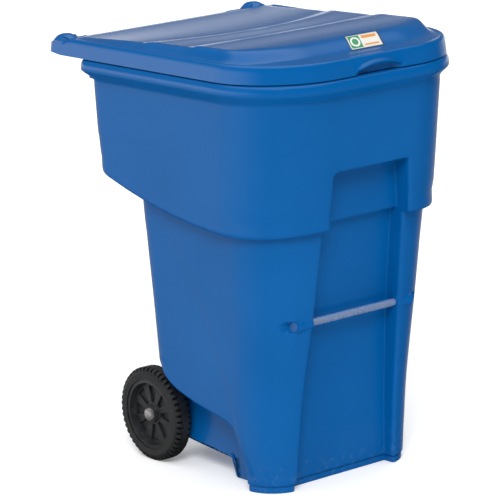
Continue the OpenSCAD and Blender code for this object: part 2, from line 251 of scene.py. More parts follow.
def thread(legs, rounds):
    """Joins legs, each (path, count), end to end, with a round after each but the last.
    A round is (size on its leg, size on the next leg, steps)."""
    points = []
    before = 0.0
    for (path, count), (size, next_size, steps) in zip(legs, rounds + [(0.0, 0.0, 0)]):
        path = np.asarray(path, float)
        total = run_of(path)[-1]
        leg = stretch(path, min(before, 0.48 * total), total - min(size, 0.48 * total), count)
        if points:
            first = points[-1]
            for i in range(1, bends):
                t = i / bends
                points.append((1 - t) ** 2 * first + 2 * t * (1 - t) * path[0] + t * t * leg[0])
        points.extend(leg)
        before, bends = next_size, steps
    return np.array(points)


# %% [markdown]
# ### Sections of the tub
# Heights come first and then the numbers of the outline, in millimetres: half width, front, rear, the
# radius of the front corners and that of the rear ones. The channel, the wheel arch and the crease on the
# side have their own.

# %% Sections
body_plan = table([(20, 254, -276, 182, 100, 60), (100, 262, -285, 182, 115, 60),
                   (222, 270, -300, 182, 130, 60), (456, 285, -339, 181, 150, 60),
                   (700, 303, -378, 180, 178, 60), (830, 311, -398, 180, 190, 60)])
channel_plan = table([(0, 165, -239), (100, 161, -247), (264, 156, -261), (446, 145, -287), (596, 138, -312),
                      (709, 133, -332)])
arch_line = table([(-1, -193), (43, -187), (104, -161), (158, -141), (174, -114), (184, -78), (192, -35),
                   (207, 27), (228, 88), (254, 128), (284, 150), (305, 184)])
crease_line = table([(46, -202), (107, -176), (165, -156), (200, -151), (254, -139), (335, -113), (411, -88),
                     (506, -47), (584, 2), (656, 60), (700, 96)])
NO_NOTCH = (118.0, -600.0)
COLLAR_LOW = (331, -406, 304, 216, 50)
COLLAR_TOP = (339, -430, 310, 200, 50)
RIM = (360, -458, 338, 224, 52)
WELL_X = 193.0
ARCH_TOP = 305.0
CREASE_DEPTH = 2.6


def edge_z(x, y):
    """Height of the collar's lower edge over a point of its outline."""
    return 690 + 3e-4 * max(0.0, y + 300) ** 2 + 0.075 * max(0.0, 290 - abs(x)) * smooth(-300, -350, y)


def underside_z(y):
    """Height of the tub's underside: on the ground at the feet, and raised behind them."""
    if y < -46:
        return 50 * smooth(-52, -46, y)
    return 50 + 10 * (y + 46) / 106 if y < 60 else 60 + (y - 60) / 9


def half_ring(plan, notch, arch_z=None, inset=0.0, mouth_round=11.0):
    """Half of one outline in plan: the notch in the front, the corner, the side, the wheel arch and the rear.
    notch is the channel's half width and its back. arch_z is the height at which the wheel arch is read."""
    base = half_plan(*plan, inset=inset)
    run = run_of(base)
    rear = plan[2] - inset
    middle = int(np.argmax(base[:, 0]))
    notch_x = notch[0] + inset
    mouth = float(np.interp(notch_x, base[:middle, 0], run[:middle]))
    mouth_y = float(np.interp(mouth, run, base[:, 1]))
    back_y = max(notch[1] + inset, mouth_y)
    inner_x = notch_x - max(0.0, 14.0 - (back_y - mouth_y))
    arch_y, slope = rear, 1.0
    if arch_z is not None and arch_z < ARCH_TOP:
        arch_y = min(rear, arch_line(arch_z)[0])
        slope = min(5.0, math.hypot(1.0, (arch_line(arch_z + 2)[0] - arch_line(arch_z - 2)[0]) / 4.0))
    last_on_side = int(np.argmax(base[:, 1] >= rear - 1e-6))
    arch_at = float(np.interp(arch_y, base[middle:last_on_side + 1, 1], run[middle:last_on_side + 1]))
    arch_point = np.array([np.interp(arch_at, run, base[:, 0]), np.interp(arch_at, run, base[:, 1])])
    inside = np.array([WELL_X, arch_point[1]])
    wall_end = np.array([WELL_X - max(0.0, 24.0 - (rear - inside[1])), rear])
    fender = 8.0 * smooth(2.0, 30.0, rear - arch_y)
    legs = [([(0.0, back_y), (inner_x, back_y)], NOTCH_STEPS), ([(inner_x, back_y), (notch_x, mouth_y)], 7),
            (stretch(base, mouth, arch_at, 500), 72), ([arch_point, inside], 7), ([inside, wall_end], 17),
            ([wall_end, (0.0, rear)], 8)]
    rounds = [(4.0, 4.0, 4), (mouth_round, mouth_round, 6), (fender * slope, fender, 6),
              (14.0, 14.0 * slope, 5), (10.0, 10.0, 4)]
    return thread(legs, rounds)


def at_height(outline, z, notch_z=None):
    """Gives the points of half an outline their heights. z is a number or a function of a point."""
    heights = np.array([z(x, y) if callable(z) else z for x, y in outline])
    if notch_z is not None:
        wall = np.clip((np.arange(len(outline)) - WALL_FROM) / WALL_POINTS, 0.0, 1.0)
        heights = notch_z + (heights - notch_z) * wall
    return np.column_stack([outline, heights])


NOTCH_STEPS = 8
WALL_FROM = NOTCH_STEPS + 3
WALL_POINTS = 9.0


def foot_lift(ring, z):
    """Raises the part of a low ring that lies behind the feet, up to the tub's underside."""
    if z < 100.0:
        for point in ring:
            under = underside_z(point[1])
            point[2] = under + z * (1.0 - under / 100.0)
    return ring


def crease(ring):
    """Draws in the side behind the soft crease that runs up from the wheel arch."""
    for point in ring:
        x, y, z = point
        if z < 700.0 and x > WELL_X + 12:
            line = crease_line(z)[0]
            point[0] -= CREASE_DEPTH * smooth(line - 7, line + 7, y) * smooth(700, 620, z)
    return ring


# %% Rings of the lower body
half_rings = []
PLINTH = [(0.0, 6.0), (1.5, 4.5), (4.0, 4.0), (15.5, 4.0), (16.5, 5.2), (18.5, 5.2), (19.2, 2.5),
          (20.5, 0.8), (23.0, 0.0)]
for z, inset in PLINTH:
    outline = half_ring(body_plan(z), channel_plan(z), arch_z=z, inset=inset)
    half_rings.append(foot_lift(at_height(outline, z), z))
body_heights = ([34, 46, 58, 70, 82, 94, 106, 118, 130, 140, 150]
                + list(range(157, 196, 3)) + list(range(195, 234, 3))
                + [238, 244, 250, 257, 264, 271, 278, 285, 291, 297, 301, 304, 307, 312, 320]
                + [335, 355, 375, 395, 410] + list(range(420, 484, 4)) + [490, 505, 525, 545, 565, 585, 600])
for z in body_heights:
    outline = half_ring(body_plan(z), channel_plan(z), arch_z=z)
    half_rings.append(crease(foot_lift(at_height(outline, z), z)))
for share in (0.25, 0.5, 0.75, 0.93, 1.0):
    z = 600 + 105 * share
    outline = half_ring(body_plan(z), channel_plan(z))
    rise = lambda x, y: 600 + (edge_z(x, y) + 1 - 600) * share
    half_rings.append(crease(at_height(outline, rise, notch_z=z)))

# %% [markdown]
# ### The collar
# The collar's lower edge rises towards the rear, so the heights of its rings depend on the place in plan.
# In the channel the same rings make the ledge under the grab pocket, and further up its ceiling.

# %% Rings of the collar
UNDER_COLLAR = [(12.0, 0.0, 706.0, -332.0), (6.0, 0.6, 708.0, -332.5), (2.4, 2.6, 709.0, -335.0),
                (0.7, 6.0, 709.4, -345.0), (0.0, 11.0, 710.5, -352.0), (0.0, 20.0, 714.0, -354.0),
                (0.0, 40.0, 722.0, -355.0)]
for inset, lift, notch_z, back_y in UNDER_COLLAR:
    outline = half_ring(COLLAR_LOW, (132.5 - inset, back_y - inset), inset=inset)
    half_rings.append(at_height(outline, lambda x, y: edge_z(x, y) + lift, notch_z=notch_z))


def collar_plan(z):
    """The collar's outline between its lower edge and its top."""
    t = (z - 690.0) / 330.0
    return [low + (high - low) * t for low, high in zip(COLLAR_LOW, COLLAR_TOP)]


def rear_rise(y):
    """How much higher a ring of the collar lies at the rear than at the front."""
    return 50 * smooth(-300, 60, y)


SLANT_FROM_Z, LEVEL_FROM_Z = 838.0, 900.0


def slant(z, y):
    """What is left at height z of the rear's rise, which fades out between the two heights above."""
    return rear_rise(y) * max(0.0, LEVEL_FROM_Z - z) / (LEVEL_FROM_Z - SLANT_FROM_Z)


for share in (0.25, 0.5, 0.75, 1.0):
    z = 722 + 116 * share
    outline = half_ring(collar_plan(z), (132.5 - 8.0 * share, -355.0 - 7.0 * share))
    level = lambda x, y: edge_z(x, y) + 40 + (SLANT_FROM_Z + rear_rise(y) - edge_z(x, y) - 40) * share
    half_rings.append(at_height(outline, level, notch_z=z))
POCKET_CEILING = [(843.0, 0.4, -362.2), (845.3, 1.4, -364.5), (846.0, 3.5, -369.0), (846.2, 4.0, -386.0),
                  (846.4, 4.0, -402.0), (846.9, 4.0, -409.0), (848.4, 4.5, -413.5), (851.5, 6.0, -430.0)]
for z, narrower, back_y in POCKET_CEILING:
    outline = half_ring(collar_plan(z), (124.5 - narrower, back_y), mouth_round=7.0)
    half_rings.append(at_height(outline, lambda x, y: z + slant(z, y)))
for z in (880, 915, 950, 985, 1008):
    outline = half_ring(collar_plan(z), NO_NOTCH)
    half_rings.append(at_height(outline, lambda x, y: z + slant(z, y)))

# %% Rings of the rim
def between(a, b, t):
    return [p + (q - p) * t for p, q in zip(a, b)]


# Height, share of the way out from the collar to the rim's bead, and inset.
RIM_RINGS = [(1018, 0.0, 0.0), (1030, 0.0, 0.0), (1035, 0.01, 0.0), (1038, 0.06, 0.0), (1042, 0.2, 0.0),
             (1050, 0.52, 0.0), (1056, 0.78, 0.0), (1059.5, 0.92, 0.0), (1062, 0.98, 0.0), (1065, 1.0, 0.0),
             (1070, 1.0, 0.0), (1076, 1.0, 0.5), (1081, 1.0, 2.0), (1085.5, 1.0, 4.6), (1088.6, 1.0, 8.0),
             (1089.9, 1.0, 12.5), (1090, 1.0, 19.0), (1088.6, 1.0, 23.0), (1084, 1.0, 25.0),
             (1040, 1.0, 25.0)]
for z, share, inset in RIM_RINGS:
    outline = half_ring(between(COLLAR_TOP, RIM, share), NO_NOTCH, inset=inset)
    half_rings.append(at_height(outline, z))
print(len(half_rings), "rings of", 2 * len(half_rings[0]) - 2, "points")


# %% [markdown]
# ### From outlines to a skin
# A grid has its points in rows, so it is rolled up like sheet metal: each row becomes one outline, and the
# first and last points of the rows are merged into a seam. Then the foot is closed with a flat face, and
# the raised underside behind it with a strip across the two wheel wells.

# %% Skin from outlines
def only(piece):
    """Makes one piece the selected and active one."""
    bpy.ops.object.select_all(action="DESELECT")
    piece.select_set(True)
    bpy.context.view_layer.objects.active = piece
    return piece


def select_points(piece, wanted):
    """Selects the points of a piece for which wanted(place) is true, in edit mode's point mode."""
    only(piece)
    bpy.ops.object.mode_set(mode="EDIT")
    bpy.ops.mesh.select_mode(type="VERT")
    bpy.ops.mesh.select_all(action="DESELECT")
    mesh = bmesh.from_edit_mesh(piece.data)
    for vert in mesh.verts:
        vert.select_set(bool(wanted(vert.co / MM)))
    mesh.select_flush(True)
    bmesh.update_edit_mesh(piece.data)


def roll_up(name, rings):
    """A closed tube of faces through rings of points, all with the same number of points."""
    count = len(rings[0])
    bpy.ops.object.select_all(action="DESELECT")
    bpy.ops.mesh.primitive_grid_add(x_subdivisions=count, y_subdivisions=len(rings) - 1, size=1.0)
    skin = bpy.context.object
    skin.name = skin.data.name = name
    rows = np.concatenate([np.concatenate([ring, ring[:1]]) for ring in rings]) * MM
    skin.data.vertices.foreach_set("co", rows.ravel())
    skin.data.update()
    bpy.ops.object.mode_set(mode="EDIT")
    bpy.ops.mesh.select_all(action="SELECT")
    bpy.ops.mesh.remove_doubles(threshold=0.02 * MM)
    bpy.ops.mesh.normals_make_consistent(inside=False)
    bpy.ops.object.mode_set(mode="OBJECT")
    return skin


def both_sides(ring):
    return np.concatenate([ring, ring[-2:0:-1] * (-1, 1, 1)])


tub = roll_up("tub_shell", [both_sides(ring) for ring in half_rings])
print(tub.name, len(tub.data.polygons), "faces")

# %% Foot and underside
def close_with_face(piece, wanted):
    """Fills the points that wanted picks with one face, as the F key does."""
    select_points(piece, wanted)
    bpy.ops.mesh.edge_face_add()
    bpy.ops.object.mode_set(mode="OBJECT")


foot = half_rings[0]
wall_rows = [i for i in range(len(foot)) if abs(foot[i][0] - WELL_X) < 3.0 and foot[i][1] > -70.0]
first_wall, last_wall = wall_rows[0], wall_rows[-1]
close_with_face(tub, lambda p: p.z < 0.01 and p.y < foot[first_wall][1] + 0.5)
for i in range(first_wall, last_wall):
    low_y, high_y = foot[i][1] - 0.01, foot[i + 1][1] + 0.01
    low_z, high_z = foot[i][2] - 0.01, foot[i + 1][2] + 0.01
    close_with_face(tub, lambda p: low_y < p.y < high_y and low_z < p.z < high_z)
close_with_face(tub, lambda p: p.y > foot[last_wall][1] - 0.01 and p.z < foot[-1][2] + 0.01)
print("underside closed with", last_wall - first_wall + 2, "faces")

# %% [markdown]
# ### Dimples for the ends of the lifting bar
# The bar ends in a shallow dimple pressed into the corner of each pillar. The faces round it are divided,
# and their points are pushed in to the flat bottom of the dimple, with a soft edge.

# %% Dimples
BAR_Y, BAR_Z, BAR_END_X = -319.0, 451.0, 198.0
DIMPLE_R = 14.0
PILLAR_OUTER_X = 165.0


def from_bar(p):
    """Distance of a point from the bar's axis, seen along it."""
    return math.hypot(p.y - BAR_Y, p.z - BAR_Z)


select_points(tub, lambda p: abs(p.x) > PILLAR_OUTER_X and p.y < -270 and from_bar(p) < 30)
bpy.ops.mesh.select_mode(type="FACE")
bpy.ops.mesh.subdivide(number_cuts=2)
bpy.ops.object.mode_set(mode="OBJECT")
for vert in tub.data.vertices:
    place = vert.co / MM
    if abs(place.x) > PILLAR_OUTER_X and place.y < -250:
        pushed = smooth(DIMPLE_R + 2.0, DIMPLE_R - 2.5, from_bar(place))
        depth = max(0.0, abs(place.x) - (BAR_END_X - 3.0))
        vert.co.x -= math.copysign(depth * pushed * MM, place.x)

# %% Wall of the tub
def modify(piece, kind, **settings):
    """Adds one modifier to a piece and applies it."""
    only(piece)
    modifier = piece.modifiers.new(kind, kind)
    for name, value in settings.items():
        setattr(modifier, name, value)
    bpy.ops.object.modifier_apply(modifier=modifier.name)


def smooth_shade(piece, degrees=35.0):
    only(piece)
    bpy.ops.object.shade_smooth_by_angle(angle=math.radians(degrees))


only(tub)
bpy.ops.object.mode_set(mode="EDIT")
bpy.ops.mesh.select_all(action="SELECT")
bpy.ops.mesh.normals_make_consistent(inside=False)
bpy.ops.object.mode_set(mode="OBJECT")
TUB_WALL = 4.0
modify(tub, "SOLIDIFY", thickness=TUB_WALL * MM, offset=-1.0, use_quality_normals=True)
smooth_shade(tub, 40.0)
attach(tub, "tub_body")
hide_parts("tub")
print(tub.name, len(tub.data.polygons), "faces with the inside")

# %% [markdown]
# ## The lid
# The lid is a thin moulded dome with a tall skirt, a scoop for the fingers at the front, and an ear at each
# rear corner that takes a hinge pin. It is made as the tub is, from outlines, but here the outlines shrink
# towards the middle, and one function of the place gives the height: the bead along the edge, the dome, and
# the two low steps by which the dome comes down towards the rear.

# %% Heights of the lid
LID_FOOT = (355, -452, 412, 219, 30)
LID_TOP = (351, -448, 412, 215, 26)
SKIRT_FOOT_Z, SKIRT_TOP_Z = 1092.0, 1131.0
DOME_RISE = 29.0
EAR_IN, EAR_OUT, EAR_REAR = 287.0, 351.0, 454.0
SCOOP_MID, SCOOP_HALF = 4.0, 86.0

# Height over the distance from the lid's edge: a round bead, and a shallow valley inside it.
bead_profile = table([(0, 1131), (1.2, 1133.8), (3, 1136), (5, 1137.3), (8, 1138), (11, 1137.6), (15, 1136.6),
                      (19, 1136.4), (28, 1137.2), (45, 1138)])
# Share of the dome's rise over the place from front to back.
front_slope = table([(-440, 0.0), (-400, 0.02), (-385, 0.07), (-374, 0.2), (-332, 0.92), (-318, 0.99),
                     (-304, 1.0)])
# Height of an ear's crest over the place from front to back.
ear_profile = table([(346, 1120), (358, 1126), (368, 1131), (376, 1135.5), (386, 1140), (396, 1143),
                     (408, 1144), (420, 1143.2), (434, 1140), (444, 1135), (450, 1128), (454, 1118)])


def to_edge(x, y):
    """Distance from a point of the lid to its outline."""
    half, front, rear, front_r, _ = LID_TOP
    if abs(x) > half - front_r and y < front + front_r:
        return front_r - math.hypot(abs(x) - (half - front_r), y - (front + front_r))
    return min(half - abs(x), y - front, rear - y)


def fall(x, y):
    """How far the dome has come down again towards the rear, in two steps. The second one bows backwards."""
    first = -120 + 12 * (x / 290) ** 2
    second = 16 + 45 * (x / 250) ** 2
    return (0.10 * smooth(-285, first - 22, y) + 0.25 * smooth(first - 18, first + 18, y)
            + 0.09 * smooth(first + 18, second - 14, y) + 0.20 * smooth(second - 14, second + 14, y)
            + 0.36 * smooth(second + 14, 385, y))


def lid_height(x, y):
    d = max(0.0, to_edge(x, y))
    bow = 60 * max(0.0, (abs(x) - 150) / 150) ** 2
    dome = DOME_RISE * smooth(13, 44, d) * front_slope(y - bow)[0] * (1 - fall(x, y))
    return bead_profile(d)[0] + dome - 11.0 * smooth(350, 412, y) - 60.0 * smooth(412, 426, y)


def ear_height(x, y):
    """The hump over a hinge pin, rounded to both of its sides."""
    half = (EAR_OUT - EAR_IN) / 2
    aside = abs(abs(x) - (EAR_IN + EAR_OUT) / 2)
    return ear_profile(y)[0] - 15.0 * smooth(4.0, half, aside) - 20.0 * smooth(half, half + 5.0, aside)


def lid_top(x, y):
    """The higher of the lid and its ear, with a small fillet where they meet."""
    fillet = 7.0
    if y < 345:
        return lid_height(x, y)
    lid_z, ear_z = lid_height(x, y), ear_height(x, y)
    return max(lid_z, ear_z) + max(0.0, fillet - abs(lid_z - ear_z)) ** 2 / (4 * fillet)


# %% Outlines of the lid
def lid_outline(plan, inset=0.0):
    """Half of the lid's outline with its ear, from the middle of the front to the middle of the rear."""
    base = half_plan(*plan, inset=inset)
    run = run_of(base)
    half, _, rear, front_r, _ = plan
    side = half - inset
    corner_end = int(np.argmax(base[:, 0]))
    legs = [(stretch(base, 0.0, half - front_r, 100), 34),
            (stretch(base, half - front_r, run[corner_end], 400), 40),
            ([base[corner_end], (side, 372.0)], 34), ([(side, 372.0), (side, EAR_REAR - inset)], 12),
            ([(side, EAR_REAR - inset), (EAR_IN + inset, EAR_REAR - inset)], 8),
            ([(EAR_IN + inset, EAR_REAR - inset), (EAR_IN + inset, rear - inset)], 8),
            ([(EAR_IN + inset, rear - inset), (0.0, rear - inset)], 30)]
    rounds = [(0.5, 0.5, 2), (0.5, 0.5, 2), (0.5, 0.5, 2), (26.0 - inset, 26.0 - inset, 6), (8.0, 8.0, 4),
              (5.0, 5.0, 3)]
    return thread(legs, rounds)


def foot_height(x, y):
    """The skirt's lower edge: cut short along the rear, clear of the handle, and rising under the ears."""
    cut = 20.0 * smooth(372, 380, y) * smooth(EAR_IN + 6, EAR_IN, abs(x)) if y < 414 else 0.0
    return SKIRT_FOOT_Z + cut + 6.0 * smooth(390, EAR_REAR - 2, y)


# For each row of the skirt, its lift over the scoop's brow and its way inwards.
SCOOP_ROWS = [(0.0, 15.0), (0.0, 15.0), (-2.6, 12.0), (-1.0, 1.0), (0.8, -5.5), (3.8, -4.8), (7.0, -1.4),
              (9.5, 0.0)]
SKIRT_SHARES = [0.0, 0.07, 0.15, 0.24, 0.36, 0.52, 0.74, 1.0]


def scoop(x, y, z, row):
    """Shapes the front of the skirt into a brow over a hollow for the fingers."""
    aside = abs(x - SCOOP_MID) / SCOOP_HALF
    if y > -380 or aside >= 1.0:
        return y, z
    lift, inward = SCOOP_ROWS[row]
    brow = 1094.5 + 20.0 * (1 - aside ** 2.2)
    deep = smooth(1.0, 0.55, aside)
    target = brow + lift if row > 1 else SKIRT_FOOT_Z + row * 0.45 * (brow - 2.4 - SKIRT_FOOT_Z)
    blend = smooth(1.0, 0.9, aside)
    return y + inward * deep, z + (min(target, SKIRT_TOP_Z - 0.2 * (7 - row)) - z) * blend


def lid_ring(outline, height, row=None):
    """A whole ring of the lid. Each half is shaped for itself: the scoop isn't quite in the middle."""
    ring = []
    for x, y in np.concatenate([outline, outline[-2:0:-1] * (-1, 1)]):
        z = height(x, y)
        if row is not None:
            y, z = scoop(x, y, z, row)
        ring.append((x, y, z))
    return np.array(ring)


lid_rings = []
for row, share in enumerate(SKIRT_SHARES):
    outline = lid_outline(between(LID_FOOT, LID_TOP, share))
    skirt = lambda x, y: foot_height(x, y) + (min(lid_top(x, y), SKIRT_TOP_Z) - foot_height(x, y)) * share
    lid_rings.append(lid_ring(outline, skirt, row))
for inset in (0.6, 1.4, 2.6, 4.2, 6.2, 8.5, 11.0, 13.5, 16.0):
    lid_rings.append(lid_ring(lid_outline(LID_TOP, inset), lid_top))
eared = lid_outline(LID_TOP, 16.0)
plain = half_plan(*LID_TOP, inset=16.0)
plain_run = run_of(plain)
side_points = 34 + 40 + 34 + 4
ear_points = len(eared) - side_points - 31
at_side = float(np.interp(366.0, plain[np.argmax(plain[:, 0]):, 1], plain_run[np.argmax(plain[:, 0]):]))
at_rear = float(plain_run[-1] - (EAR_IN + 10))
plain = np.concatenate([eared[:side_points], stretch(plain, at_side, at_rear, ear_points + 1)[1:-1],
                        stretch(plain, at_rear, plain_run[-1], 30)])
for share in (0.12, 0.25, 0.38, 0.5, 0.62, 0.74, 0.87, 1.0):
    lid_rings.append(lid_ring(eared + (plain - eared) * share, lid_top))
LID_MIDDLE = np.array((0.0, -20.0))
for inward in list(range(5, 60, 5)) + list(range(66, 400, 9)) + [404]:
    share = 1.0 - inward / 412.0
    lid_rings.append(lid_ring(LID_MIDDLE + (plain - LID_MIDDLE) * share, lid_top))
print(len(lid_rings), "rings of", len(lid_rings[0]), "points")

# %% Lid
lid = roll_up("lid_shell", lid_rings)
centre = lid_rings[-1].mean(axis=0)
select_points(lid, lambda p: math.hypot(p.x - centre[0], p.y - centre[1]) < 12 and p.z > 1136)
bpy.ops.mesh.merge(type="CENTER")
bpy.ops.mesh.select_all(action="SELECT")
bpy.ops.mesh.normals_make_consistent(inside=False)
bpy.ops.object.mode_set(mode="OBJECT")
LID_WALL = 3.5
modify(lid, "SOLIDIFY", thickness=LID_WALL * MM, offset=-1.0, use_quality_normals=True)
smooth_shade(lid, 40.0)
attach(lid, "lid_body")
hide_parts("lid")
print(lid.name, len(lid.data.polygons), "faces")


# %% [markdown]
# ## The handle and the axle housing
# Two arms grow out of the tub's rear wall under the lid and carry the handle between them. On the real cart
# they are part of the tub's moulding. Each arm is a flat side profile, filled and extruded sideways like
# cut plate, and its edges are bevelled as a mould would leave them. Below, a ribbed housing holds the axle
# against the tub.

# %% Extruded and turned pieces
def plate(name, profile, x0, x1, soft=3.0, steps=3):
    """A side profile of (y, z) points, extruded from x0 to x1, with bevelled edges."""
    bpy.ops.object.select_all(action="DESELECT")
    bpy.ops.mesh.primitive_circle_add(vertices=len(profile), radius=1.0)
    piece = bpy.context.object
    piece.name = piece.data.name = name
    for vert, (y, z) in zip(piece.data.vertices, profile):
        vert.co = Vector((x0, y, z)) * MM
    bpy.ops.object.mode_set(mode="EDIT")
    bpy.ops.mesh.select_all(action="SELECT")
    bpy.ops.mesh.edge_face_add()
    bpy.ops.mesh.extrude_region_move(TRANSFORM_OT_translate={"value": ((x1 - x0) * MM, 0, 0)})
    bpy.ops.mesh.select_all(action="SELECT")
    bpy.ops.mesh.normals_make_consistent(inside=False)
    bpy.ops.object.mode_set(mode="OBJECT")
    if soft:
        modify(piece, "BEVEL", width=soft * MM, segments=steps, limit_method="ANGLE",
               angle_limit=math.radians(25))
    smooth_shade(piece, 35.0)
    return piece


def turned(name, profile, y, z, steps=96):
    """A profile of (x, radius) points, spun once round the line through (y, z) along X."""
    bpy.ops.object.select_all(action="DESELECT")
    bpy.ops.mesh.primitive_circle_add(vertices=len(profile), radius=1.0)
    piece = bpy.context.object
    piece.name = piece.data.name = name
    for vert, (x, radius) in zip(piece.data.vertices, profile):
        vert.co = Vector((x, y, z + radius)) * MM
    bpy.ops.object.mode_set(mode="EDIT")
    bpy.ops.mesh.select_all(action="SELECT")
    bpy.ops.mesh.spin(steps=steps, angle=2 * math.pi, center=(0, y * MM, z * MM), axis=(1, 0, 0))
    bpy.ops.mesh.select_all(action="SELECT")
    bpy.ops.mesh.remove_doubles(threshold=0.01 * MM)
    bpy.ops.mesh.dissolve_degenerate()
    bpy.ops.mesh.normals_make_consistent(inside=False)
    bpy.ops.object.mode_set(mode="OBJECT")
    smooth_shade(piece, 35.0)
    return piece


# %% Handle
HINGE_Y, HINGE_Z = 430.0, 1112.0
ARM_IN, ARM_OUT = 240.0, 283.0
BOSS_R = 14.0
ARM_PROFILE = ([(304, 990), (330, 1030), (392, 1084), (418, 1097)]
               + arc(HINGE_Y, HINGE_Z, BOSS_R, -60, 150, 14)
               + [(414, 1109), (395, 1104), (336, 1098), (330, 1060), (304, 1060)])
handle = []
for side, away in (("left", -1), ("right", 1)):
    handle.append(plate("handle_arm_" + side, ARM_PROFILE, away * ARM_IN, away * ARM_OUT))
GRIP_R, GRIP_HALF, GRIP_PLAIN_FROM = 12.0, 244.0, 205.0
GROOVE_PITCH, GROOVE_DEPTH, GROOVES_A_SIDE = 10.0, 0.9, 19
grip_profile = [(-GRIP_HALF, 0.5), (-GRIP_HALF, GRIP_R), (-GRIP_PLAIN_FROM, GRIP_R)]
for number in range(-GROOVES_A_SIDE, GROOVES_A_SIDE + 1):
    middle = GROOVE_PITCH * number
    groove_r = GRIP_R - GROOVE_DEPTH
    grip_profile += [(middle - 4.0, GRIP_R), (middle - 2.4, groove_r), (middle + 2.4, groove_r),
                     (middle + 4.0, GRIP_R)]
grip_profile += [(GRIP_PLAIN_FROM, GRIP_R), (GRIP_HALF, GRIP_R), (GRIP_HALF, 0.5)]
handle.append(turned("handle_grip", grip_profile, HINGE_Y, HINGE_Z, steps=40))
print(len(handle), "pieces of the handle")

# %% Axle housing
HOOD_OUT = [(178, 74), (178, 300), (184, 300), (248, 186), (256, 168), (256, 92), (244, 80)]
HOOD_IN = [(240, 83), (252, 94), (252, 166), (245, 184), (182, 296), (182, 74)]
HOOD_HALF = 192.0
housing = [plate("axle_housing", HOOD_OUT + HOOD_IN, -HOOD_HALF, HOOD_HALF, soft=1.5, steps=2)]
RIB_PROFILE = [(179, 76), (179, 298), (183, 298), (247, 185), (254.5, 168), (254.5, 93), (243.5, 82)]
RIB_W = 8.0
for number, x in enumerate((-190.0, -126.0, -70.0, -4.0, 62.0, 126.0, 182.0)):
    housing.append(plate(f"housing_rib_{number + 1}", RIB_PROFILE, x, x + RIB_W, soft=0.8, steps=2))
RIDGE = [(183, 300), (249, 187), (257.5, 168), (257.5, 96), (252, 96), (252, 168), (244, 184), (181, 297)]
for number, x in enumerate((-150.0, -90.0, -30.0, 30.0, 90.0, 150.0)):
    start = x - RIB_W / 2
    housing.append(plate(f"housing_ridge_{number + 1}", RIDGE, start, start + RIB_W, soft=1.2, steps=2))
sleeves = []
for side, away in (("left", -1), ("right", 1)):
    inner, outer = 143.0 * away, 194.0 * away
    bore, sleeve_r = 11.0, 19.0
    sleeve_profile = [(inner, bore), (inner, sleeve_r - 2), (inner + 2 * away, sleeve_r), (outer, sleeve_r),
                      (outer, bore)]
    sleeves.append(turned("bar_sleeve_" + side, sleeve_profile, BAR_Y, BAR_Z, steps=64))
for piece in handle + housing + sleeves:
    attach(piece, "tub_body")
print(len(housing) + len(sleeves), "pieces hold the axle and the bar")

# %% [markdown]
# ## The label
# A printed film is stuck on the front slope of the dome. It bends with the lid, so it is a fine grid laid
# on the lid's own height function, a little proud of it, and given the thickness of the film.

# %% Label
LABEL_X, LABEL_W = 52.0, 110.0
LABEL_TOP_Y, LABEL_FOOT_Y = -326.0, -384.0
LABEL_LEAN = 0.42
LABEL_STEPS_X, LABEL_STEPS_Y = 44, 22
LABEL_CORNER = 3.0
bpy.ops.object.select_all(action="DESELECT")
bpy.ops.mesh.primitive_grid_add(x_subdivisions=LABEL_STEPS_X, y_subdivisions=LABEL_STEPS_Y, size=1.0)
label = bpy.context.object
label.name = label.data.name = "label_film_panel"
for vert in label.data.vertices:
    across, along = vert.co.x, vert.co.y
    corner = max(0.0, abs(across) * LABEL_W - (LABEL_W / 2 - LABEL_CORNER)) / LABEL_CORNER
    half = (LABEL_TOP_Y - LABEL_FOOT_Y) / 2 - LABEL_CORNER * (1 - math.sqrt(max(0.0, 1 - corner ** 2)))
    x = LABEL_X + across * LABEL_W + LABEL_LEAN * (along - 0.5) * 2 * half
    y = (LABEL_TOP_Y + LABEL_FOOT_Y) / 2 + along * 2 * half
    vert.co = Vector((x, y, lid_height(x, y) + 0.15)) * MM
only(label)
bpy.ops.object.mode_set(mode="EDIT")
bpy.ops.mesh.select_all(action="SELECT")
bpy.ops.mesh.normals_make_consistent(inside=False)
bpy.ops.object.mode_set(mode="OBJECT")
if label.data.polygons[0].normal.z < 0:
    label.data.flip_normals()
modify(label, "SOLIDIFY", thickness=0.45 * MM, offset=1.0)
smooth_shade(label, 40.0)
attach(label, "lid_body")
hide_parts("lid_label")
print(label.name, "is", LABEL_W, "mm wide")

# %% Sky
world = bpy.data.worlds.new("studio_sky")
bpy.context.scene.world = world
world.use_nodes = True
sky = NodeSheet(world.node_tree)
sight = sky.node("ShaderNodeTexCoord", {}, {}, output="Generated")
BEHIND = (-0.2, 0.98, 0.0)
side = sky.node("ShaderNodeVectorMath", dict(operation="DOT_PRODUCT"), {0: sight, 1: BEHIND}, output="Value")
height = sight.axis("Z")
below = height.ramp(-0.5, -0.3, 0.03, 0.4) + height.ramp(-0.2, -0.08, 0.0, 0.9)
band = below * height.ramp(0.04, 0.13, 1.0, 0.1)
gloss_sky = side.ramp(-0.35, 0.5, 0.01, 1.0) * band + height.ramp(0.6, 0.85, 0.0, 1.0)
soft_sky = height.ramp(-0.08, 0.05, 0.04, 0.2) + height.ramp(0.35, 0.95, 0.0, 1.1)
glossy = sky.node("ShaderNodeLightPath", {}, {}, output="Is Glossy Ray")
seen = sky.node("ShaderNodeLightPath", {}, {}, output="Is Camera Ray")
tent = glossy * gloss_sky + (1.0 - glossy) * soft_sky
sky.plug(world.node_tree.nodes["Background"].inputs["Strength"], seen * 1.0 + (1.0 - seen) * tent)
world.node_tree.nodes["Background"].inputs["Color"].default_value = (1, 1, 1, 1)

